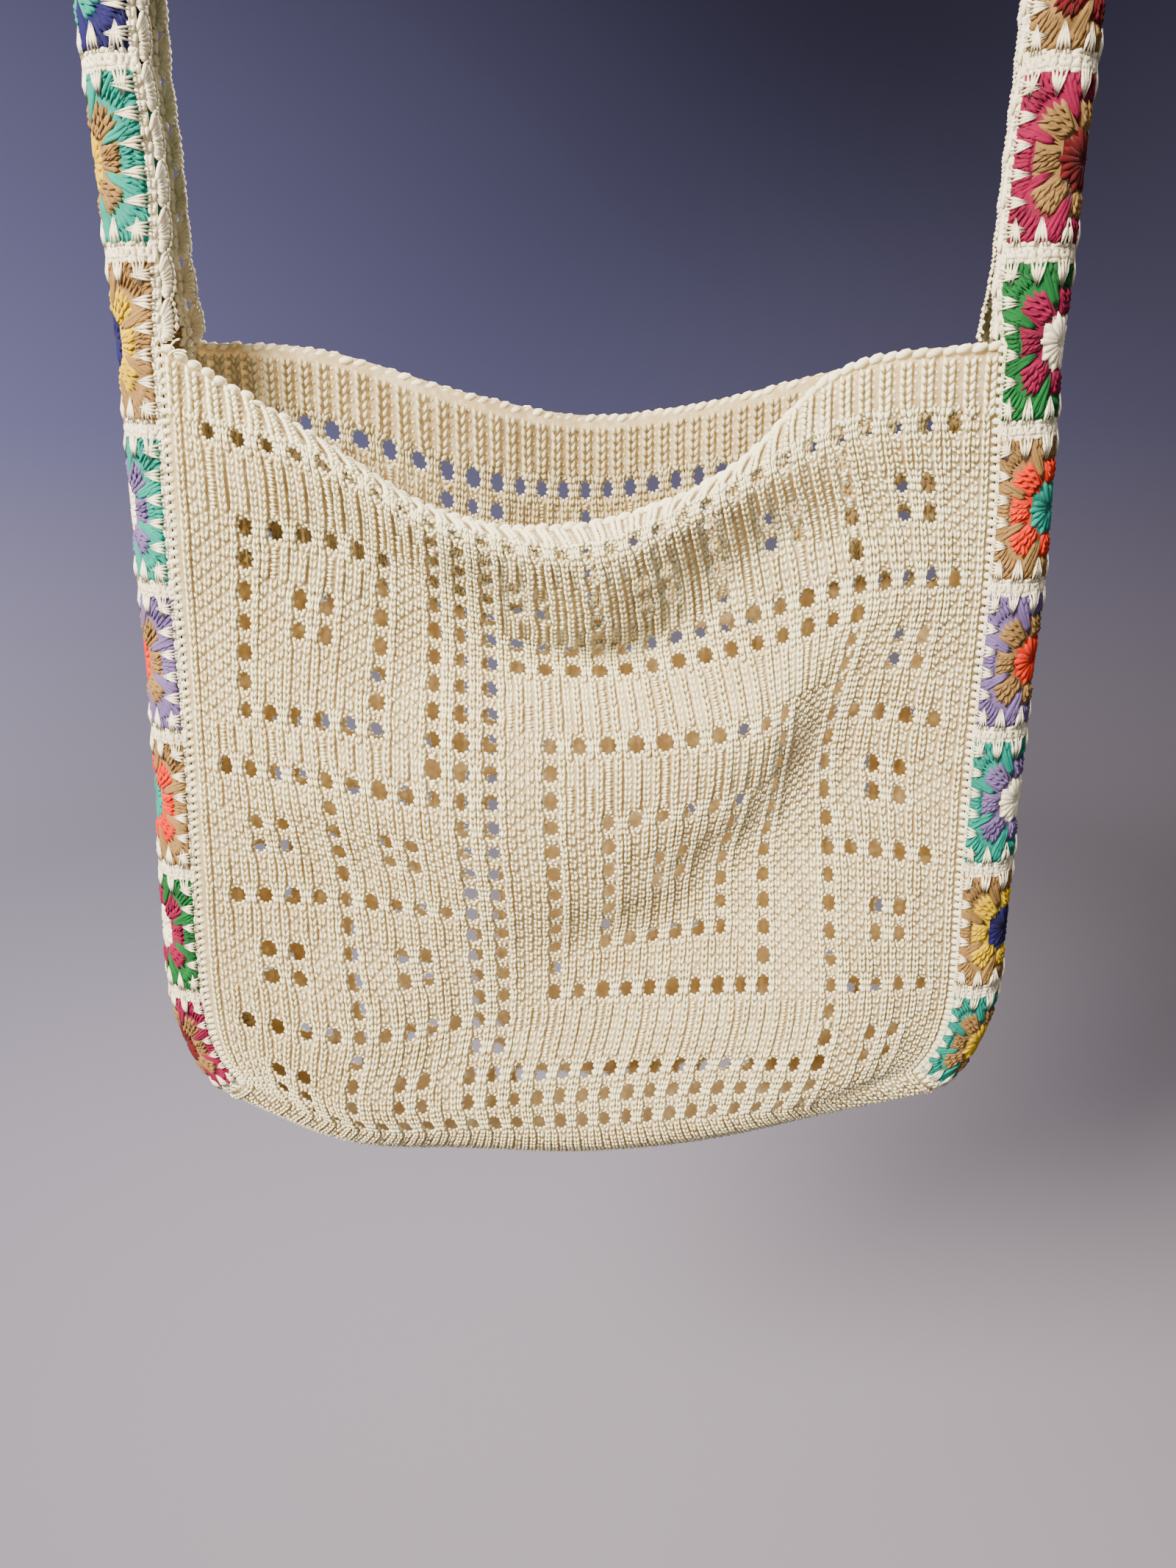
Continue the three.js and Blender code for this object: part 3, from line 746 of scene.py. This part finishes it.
# The ribs of the rim band, and the stitches that lie back between them.
def rimLegs(drape, face):
    spacing = panelWidth / rim["ribs"]
    ribs, courses = [g.ravel() for g in np.meshgrid(np.arange(rim["ribs"]), np.arange(rim["courses"]))]
    x = (ribs + 0.5) * spacing
    y = rim["firstCourse"] + courses * rim["coursePitch"]
    starts, ends = [], []
    for way in (-1, 1):
        starts.append(flatPoints(x + way * 0.45, y + 2.2, 0.9))
        ends.append(flatPoints(x + way * 1.95, y - 1.9, 1.3))
    between = x + spacing / 2
    inside = between < panelWidth - 1
    starts.append(flatPoints(between - 1.4, y + 0.5, -0.55)[inside])
    ends.append(flatPoints(between + 1.4, y - 0.5, -0.55)[inside])
    start, end = np.concatenate(starts), np.concatenate(ends)
    jitter = random.normal(0, 0.08, start.shape)
    return placeLegs(drape, start + jitter, end + jitter, face)


# The bound-off edge. What stands over the panel's top goes straight up.
def boundEdge(drape):
    x = (np.arange(rim["knobs"]) + 0.5) * panelWidth / rim["knobs"]
    tilt = rim["knobTilt"]
    start = flatPoints(x - rim["knobLength"] / 2, 1.0 + tilt, 0.9)
    end = flatPoints(x + rim["knobLength"] / 2, 1.0 - tilt, 0.7)
    jitter = random.normal(0, 0.25, start.shape)
    start, end = start + jitter, end + jitter
    first = onPanel(drape, start[:, 0], np.maximum(start[:, 1], 0), start[:, 2])[0]
    last, outward = onPanel(drape, end[:, 0], np.maximum(end[:, 1], 0), end[:, 2])
    first[:, 2] += np.maximum(-start[:, 1], 0)
    last[:, 2] += np.maximum(-end[:, 1], 0)
    return first, last, outward


cutEnds = [
    # x and y of the root, lean in degrees, length
    (2.0, 1.5, -25, 9.0),
    (3.4, 2.0, 15, 7.5),
    (2.6, 3.2, 50, 8.5),
    (1.2, 2.4, -60, 6.0),
]


# Cut ends of yarn, left where the rim meets the strap on the left.
def yarnEnds():
    starts, ends = [], []
    for x, y, lean, length in cutEnds:
        root = onPanel(frontDrape, np.array([x]), np.array([y]), np.array([1.2]))[0]
        place, angle = root[0], math.radians(lean)
        for step in range(4):
            move = length / 4 * np.array([math.sin(angle), -0.35, math.cos(angle)])
            starts.append(place)
            place = place + move
            ends.append(place)
            angle += 0.35
    starts, ends = np.array(starts), np.array(ends)
    middle, reach = (starts + ends) / 2, (ends - starts) * 0.62
    return middle - reach, middle + reach, np.broadcast_to((0.0, -1.0, 0.0), starts.shape)


def panelPieces(side, drape, node, facing):
    groundSheet(f"{side}_ground", drape, node, facing)
    legSize = (knit["legWidth"], knit["legThickness"])
    rimSize = (rim["legWidth"], rim["legThickness"])
    legs = strands(stitchSeed, *knitLegs(drape, 4 * bag["rows"] + 10, 1), *legSize)
    stitches = joinedPiece(f"{side}_stitches", [(*legs, 0)], [creamYarn])
    rings = strands(stitchSeed, *ringLegs(drape, 1, bag["rows"]), knit["loopSize"], knit["loopSize"])
    innerRings = strands(stitchSeed, *ringLegs(drape, -1, knit["innerLoopRows"]),
                         knit["innerLoopSize"], knit["innerLoopSize"])
    eyelets = joinedPiece(f"{side}_eyelet_loops", [(*rings, 0), (*innerRings, 1)], [creamYarn, creamInsideShaded])
    outerRim = strands(stitchSeed, *rimLegs(drape, 1), *rimSize)
    innerRim = strands(stitchSeed, *rimLegs(drape, -1), *rimSize)
    edge = strands(roundSeed, *boundEdge(drape), rim["knobWidth"], rim["knobThickness"])
    lots = [(*outerRim, 0), (*innerRim, 1), (*edge, 0)]
    if side == "front":
        lots.append((*strands(strandSeed, *yarnEnds(), rim["yarnEnd"], rim["yarnEnd"]), 0))
    band = joinedPiece(f"{side}_rim_band", lots, [creamYarn, creamInsideShaded])
    # Here, as in the inner loops and the inner rim band, the inside takes the darker copy of the yarn: painted
    # shade.
    inner = strands(stitchSeed, *knitLegs(drape, knit["innerCourses"], -1), *legSize)
    lining = joinedPiece(f"{side}_inside_stitches", [(*inner, 0)], [creamInsideShaded])
    for piece in (stitches, eyelets, band, lining):
        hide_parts(node)
    print(side, "panel knitted")


panelPieces("front", frontDrape, "front_panel", 1)
panelPieces("back", backDrape, "back_panel", -1)


seam = {
    "pitch": 3.3,
    "width": 3.0,
    "thickness": 2.3,
    "bite": 2.2,        # how far a stitch reaches over each side of the seam
}


# Oversewn stitches from a panel's side to the strip, and along the foot from one panel to the other.
def seamStrands():
    starts, ends, ups = [], [], []
    for drape, facing in ((frontDrape, 1), (backDrape, -1)):
        for sign in (-1, 1):
            y = np.arange(1.5, panelHeight - 1.0, seam["pitch"])
            x = np.full(y.shape, seam["bite"] if sign < 0 else panelWidth - seam["bite"])
            start, up = onPanel(drape, x, y, np.zeros(y.shape))
            fromTop, angle = sidePlace((y + 1.0) / panelHeight, sign, facing)
            limit = stripHalf - seam["bite"]
            fold = foldAngle(fromTop) * (1 - seam["bite"] / halfStrip)
            end = stripPoint(np.clip(fromTop, -limit, limit), facing * np.minimum(np.abs(angle), fold), 0.2)
            starts.append(start)
            ends.append(end)
            ups.append(up)
    x = np.arange(3.0, panelWidth - 3.0, seam["pitch"])
    y = np.full(x.shape, panelHeight - 1.2)
    first = onPanel(frontDrape, x - 1.4, y, np.full(x.shape, 0.9))[0]
    last = onPanel(backDrape, x + 1.4, y, np.full(x.shape, 0.9))[0]
    starts.append(first)
    ends.append(last)
    ups.append(np.broadcast_to((0.0, 0.0, -1.0), first.shape))
    return strands(strandSeed, np.concatenate(starts), np.concatenate(ends), np.concatenate(ups),
                   seam["width"], seam["thickness"])


seams = joinedPiece("oversewn_seams", [(*seamStrands(), 0)], [creamYarn])
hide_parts("front_panel", "back_panel")
print("seams sewn")


granny = {
    "colours": [   # outer, middle and centre yarn, in the order along the strip
        ("magenta", "tan", "dark_red"),
        ("green", "magenta", "white"),
        ("tan", "orange", "teal"),
        ("lilac", "tan", "orange"),
        ("teal", "lilac", "white"),
        ("tan", "yellow", "navy"),
        ("teal", "tan", "yellow"),
        ("navy", "teal", "tan"),
        ("tan", "dark_red", "magenta"),
    ],
    "border": 3.0,
    "centre": 10.6,
    "clusterSide": 19.0,
    "clusterCorner": 23.5,
    "strand": 2.4,          # thickness
    "thinStrand": 1.7,      # of strands narrower than thinUnder
    "thinUnder": 2.0,
    "outerPosts": 11,       # from each cluster to the border
    "borderStitches": 15,   # along each side
    "seamStitches": 23,
    "teeth": 6,             # along each side
    "toothLength": 8.4,
    "shells": 4,            # along a square's free edge
    "shellHeight": 5.6,
    "curl": 0.05,           # how far the shells curl to the inside, for each mm squared
    "leftTurn": 12.0,       # degrees that the middles of the squares are turned to the front
    "footTurn": 34.0,       # the same at the foot on the left
    "rightTurn": 38.0,
    "edgeTurn": 0.45,       # how much of it the free edges share
    "uneven": 0.22,
    "shellUneven": 0.10,
    "unevenLift": 0.10,
    "groundCells": 20,
    "groundWall": 0.6,
}
rounds = {"outer": 0, "middle": 1, "centre": 2, "white": 3}
field = strip["squareLength"] / 2 - granny["border"]


# Flat strands of one square about its middle, x along the strip and y round it. A row is a start, an end, a
# width, a lift and the round that it belongs to.
def squareStrands():
    rows = []
    half = strip["squareLength"] / 2

    def put(start, end, width, lift, kind):
        rows.append((*start, *end, width, lift, rounds[kind]))

    def polar(angle, radius):
        return radius * math.cos(math.radians(angle)), radius * math.sin(math.radians(angle))

    def border(angle):
        return (field + 0.8) / max(abs(math.cos(math.radians(angle))), abs(math.sin(math.radians(angle))))

    for k in range(20):
        angle = k * 18
        put(polar(angle, 0.6), polar(angle, granny["centre"] - 1.0 + 2.0 * (k % 2)), 3.0, 0.1, "centre")
    for k in range(8):
        middle = k * 45
        reach = granny["clusterCorner"] if k % 2 else granny["clusterSide"]
        for step in (-2, -1, 0, 1, 2):
            tip = polar(middle + 6.6 * step, reach - 0.5 * abs(step))
            put(polar(middle + 4.5 * step, 8.5), tip, 2.9, 0.05, "middle")
        for n in range(3):      # crossed plies on top of the posts
            for step in (-1.6, 0, 1.6):
                inner = 10.0 + n * (reach - 13.0) / 3
                tip = polar(middle + 5.6 * step + 4, inner + 4.6)
                put(polar(middle + 4.6 * step - 4, inner), tip, 1.3, 0.85, "middle")
        for step in (-1, 0, 1):
            angle = middle + 22.5 + 3.6 * step
            put(polar(middle + 22.5 + 2.0 * step, 11.0), polar(angle, border(angle)), 2.3, 0.3, "outer")
        count = granny["outerPosts"]
        for n in range(count):
            angle = middle - 20 + 40 * n / (count - 1)
            put(polar(angle, reach - 1.5), polar(angle, border(angle)), 2.2, 0.0, "outer")
            room = border(angle) - reach
            for m in range(2):
                tip = polar(angle + 2.4 - 4.8 * m, reach + room * (0.55 + 0.45 * m))
                put(polar(angle - 2.4 + 4.8 * m, reach - 0.5 + room * 0.45 * m), tip, 1.2, 0.6, "outer")
    for side in range(4):
        cos, sin = (1, 0, -1, 0)[side], (0, 1, 0, -1)[side]

        def turned(x, y):
            return x * cos - y * sin, x * sin + y * cos

        pitch = 2 * field / granny["teeth"]
        for k in range(granny["teeth"]):
            x = -field + (k + 0.5) * pitch
            for step in (-1.5, -0.5, 0.5, 1.5):
                put(turned(x + 0.15 * step, field - granny["toothLength"]), turned(x + 1.75 * step, field + 2.2),
                    1.25, 1.2, "white")
        count = granny["borderStitches"]
        for k in range(count):
            x = -half + (k + 0.5) * 2 * half / count
            for way in (-1, 1):
                put(turned(x - 2.1, half - 1.9 + way * 1.2), turned(x + 2.1, half - 1.9 + way * 0.4),
                    2.2, 0.1, "white")
    count = granny["seamStitches"]
    for k in range(count):      # oversewn seam to the square before
        y = -half + (k + 0.5) * 2 * half / count
        put((-half - 2.1, y - 0.5), (-half + 2.1, y + 0.5), 2.6, 0.15, "white")
    return np.array(rows)


# The shell edging of a strap square's two free edges.
def shellStrands():
    rows, white = [], rounds["white"]
    half = strip["squareLength"] / 2
    pitch = 2 * half / granny["shells"]
    height = granny["shellHeight"]

    def onArc(x, way, angle, reach):
        a = math.radians(angle)
        return x + pitch * 0.56 * reach * math.sin(a), way * (half + 0.2 + height * reach * math.cos(a) ** 0.6)

    for way in (-1, 1):
        for k in range(granny["shells"]):
            x = -half + (k + 0.5) * pitch
            for angle in range(-75, 76, 15):      # a fan that leans on the next one
                start = (x - 2.0 + 2.6 * math.sin(math.radians(angle)), way * (half - 0.3))
                rows.append((*start, *onArc(x, way, angle, 0.96), 2.3, 0.1 + 0.006 * angle, white))
            for n in range(9):      # chain along the shell's edge
                start, end = onArc(x, way, -84 + 18.6 * n, 1.0), onArc(x, way, -84 + 18.6 * (n + 1.4), 1.0)
                rows.append((*start, *end, 1.9, 0.3, white))
            if way > 0:             # small loops on the back edge
                for n in range(7):
                    angle = -66 + 22 * n
                    start, end = onArc(x, way, angle - 4, 1.0), onArc(x, way, angle + 4, 1.24)
                    rows.append((*start, *end, 0.8, 0.0, white))
    return np.array(rows)


squareRows = squareStrands()
shellRows = shellStrands()


# Points of a flat square on the folded strip. The free edges of the strap swell out a little at their middles,
# and turn to the front with them, which the sewn ones don't.
def placeSquare(number, flat):
    x, y, lift = flat[:, 0], flat[:, 1], flat[:, 2]
    fromTop = -stripHalf + (number - 0.5) * strip["squareLength"] + x
    alongSquare = np.clip(x / strip["squareLength"] + 0.5, 0, 1)
    onStrap = np.abs(fromTop) < strapHalf - strip["gap"]
    swell = np.where(onStrap, strip["scallop"] * np.sin(math.pi * alongSquare), 0.0)
    share = -y / halfStrip
    low = np.clip((np.abs(fromTop) / stripHalf - 0.74) / 0.26, 0, 1)
    left = granny["leftTurn"] + (granny["footTurn"] - granny["leftTurn"]) * low
    most = np.where(fromTop < 0, left, granny["rightTurn"])
    turn = np.radians(most) * np.clip(np.abs(fromTop) / quarterArch, 0, 1)
    free = np.clip((strapHalf - np.abs(fromTop)) / 18.0, 0, 1)
    angle = (share * foldAngle(fromTop) * (1 + swell / halfStrip)
             + turn * np.clip(1 - share**2 * (1 - granny["edgeTurn"] * free), 0, 1))
    over = np.clip(np.abs(y) - halfStrip, 0, None)
    bulge = alongStrip(stripBulge, fromTop) * np.clip(1 - share**2, 0, 1)
    return stripPoint(fromTop, angle, lift + bulge - granny["curl"] * over**2)


# A square's strands by round. The first square has no square before it to be sewn to.
def squareLots(number):
    along = -stripHalf + (number - 0.5) * strip["squareLength"]
    shells = shellRows[np.abs(along + shellRows[:, 0]) < strapHalf - 2.0]
    rows = np.concatenate([squareRows, shells])
    uneven = np.repeat([granny["uneven"], granny["shellUneven"]], [len(squareRows), len(shells)])
    rows[:, :4] += random.normal(0, 1, (len(rows), 4)) * uneven[:, None]
    if number == 1:
        rows = rows[rows[:, 0] > -halfStrip]
    rows[:, 5] += random.normal(0, granny["unevenLift"], len(rows))
    lots = []
    for kind in rounds.values():
        mine = rows[rows[:, 6] == kind]
        start = np.column_stack([mine[:, 0:2], mine[:, 5]])
        end = np.column_stack([mine[:, 2:4], mine[:, 5]])
        up = np.broadcast_to((0.0, 0.0, 1.0), start.shape)
        thin = mine[:, 4] < granny["thinUnder"]
        for seed, few, thick in ((strandSeed, ~thin, granny["strand"]), (stitchSeed, thin, granny["thinStrand"])):
            if few.any():
                points, faces = strands(seed, start[few], end[few], up[few], mine[few, 4], thick)
                lots.append((placeSquare(number, points), faces[:, ::-1], kind))
    return lots


# The thin cloth under the strands, coloured by round.
def squareGround(number):
    cells = granny["groundCells"]
    size = strip["squareLength"] - 0.1
    grid = bmesh.new()
    bmesh.ops.create_grid(grid, x_segments=cells, y_segments=cells, size=0.5)
    for face in grid.faces:
        middle = face.calc_center_median() * size
        radius = math.hypot(middle.x, middle.y)
        inBorder = max(abs(middle.x), abs(middle.y)) > field
        inCentre, inCluster = radius < granny["centre"] - 2, radius < granny["clusterSide"] - 2
        kind = "white" if inBorder else "centre" if inCentre else "middle" if inCluster else "outer"
        face.material_index = rounds[kind]
    flat = np.array([v.co for v in grid.verts]) * (size, size, 0)
    for vertex, place in zip(grid.verts, placeSquare(number, flat + (0, 0, 0.3))):
        vertex.co = place
    # to the inside, under the strands
    bmesh.ops.solidify(grid, geom=list(grid.faces), thickness=granny["groundWall"])
    bmesh.ops.recalc_face_normals(grid, faces=grid.faces)
    points, faces, kinds = asArrays(grid)
    return [(points, faces[kinds == kind], kind) for kind in rounds.values()]


for number in range(1, strip["squares"] + 1):
    names = [*granny["colours"][(number - 1) % len(granny["colours"])], "white"]
    square = joinedPiece(f"granny_square_{number:02d}", squareGround(number) + squareLots(number),
                         [yarns[name] for name in names])
    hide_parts(f"square_{number:02d}")
print("squares crocheted")


stageValues = {
    "floorHeight": -1.05,
    "radius": 2.6,
    "bend": 1.1,
    "bendSteps": 16,
    "sides": 72,
    "wall": 3.2,
    "shadeStartsAt": -1.15,      # heights between which painted shade darkens the paper
    "shadeFullAt": -0.45,
    "lookAt": (0.0, 0.0, -0.45),
}


# One round sheet of paper that bends up into a wall all round, so every view has the same plain ground.
# Uncoated studio paper without gloss, lilac grey on the floor, with painted shade that darkens it to slate violet
# up the wall.
def paperStage():
    sweep = bmesh.new()
    radius, bend, floor = stageValues["radius"], stageValues["bend"], stageValues["floorHeight"]
    profile = [(0.0, 0.0, floor)]
    for k in range(stageValues["bendSteps"] + 1):
        turn = k / stageValues["bendSteps"] * math.pi / 2
        profile.append((radius - bend + bend * math.sin(turn), 0.0, floor + bend * (1 - math.cos(turn))))
    profile.append((radius, 0.0, floor + bend + stageValues["wall"]))
    corners = [sweep.verts.new(place) for place in profile]
    edges = [sweep.edges.new(pair) for pair in zip(corners, corners[1:])]
    bmesh.ops.spin(sweep, geom=corners + edges, cent=(0, 0, 0), axis=(0, 0, 1), dvec=(0, 0, 0),
                   angle=2 * math.pi, steps=stageValues["sides"], use_merge=True)
    bmesh.ops.remove_doubles(sweep, verts=sweep.verts, dist=1e-5)
    bmesh.ops.recalc_face_normals(sweep, faces=sweep.faces)
    bmesh.ops.reverse_faces(sweep, faces=sweep.faces)
    paper = bpy.data.materials.new("matt_studio_paper_painted_shade")
    paper.use_nodes = True
    tree = paper.node_tree
    shader = tree.nodes["Principled BSDF"]
    shader.inputs["Roughness"].default_value = 0.95
    place = addNode(tree, "ShaderNodeTexCoord")
    height = addNode(tree, "ShaderNodeSeparateXYZ", None, {"Vector": place.outputs["Object"]})
    share = addNode(tree, "ShaderNodeMapRange",
                    {"From Min": stageValues["shadeStartsAt"], "From Max": stageValues["shadeFullAt"]},
                    {"Value": height.outputs["Z"]})
    # The darkening up the wall is painted shade, standing in for the light falling off with height.
    paperPaintedShade = addNode(tree, "ShaderNodeValToRGB", None, {"Fac": share.outputs["Result"]})
    paperPaintedShade.color_ramp.elements[0].color = linearColour("#6E6970")
    paperPaintedShade.color_ramp.elements[1].color = linearColour("#585674")
    tree.links.new(paperPaintedShade.outputs["Color"], shader.inputs["Base Color"])
    sheet = smoothPiece("paper_stage", sweep, paper)
    sheet.visible_diffuse = False      # lets the room's soft light through from all sides
    sheet.visible_shadow = False


paperStage()


def areaLight(name, place, target, size, power, colour, spread=70.0):
    data = bpy.data.lights.new(name, "AREA")
    data.shape = "DISK"
    data.size = size
    data.energy = power
    data.spread = math.radians(spread)
    data.color = linearColour(colour)[:3]
    light = bpy.data.objects.new(name, data)
    light.location = place
    light.rotation_mode = "QUATERNION"
    light.rotation_quaternion = (Vector(target) - Vector(place)).to_track_quat("-Z", "Y")
    bpy.context.scene.collection.objects.link(light)


areaLight("key", (-0.92, -1.05, 0.5), stageValues["lookAt"], 0.7, 27.0, "#FFF5E6")
areaLight("fill", (1.2, -1.2, -0.3), stageValues["lookAt"], 1.2, 0.8, "#FAF8F8")
areaLight("back", (0.5, 1.3, 0.9), stageValues["lookAt"], 1.0, 24.0, "#FFF8EE")
# on the paper at the left only
areaLight("wall", (-1.2, -0.2, 0.9), (-1.3, 1.5, -0.9), 0.6, 48.0, "#FAF8FF", 96.0)

world = bpy.data.worlds.new("studio")
bpy.context.scene.world = world
world.use_nodes = True
sky = world.node_tree.nodes["Background"]
sky.inputs["Color"].default_value = linearColour("#D8D4D8")
sky.inputs["Strength"].default_value = 0.34
print("stage lit")
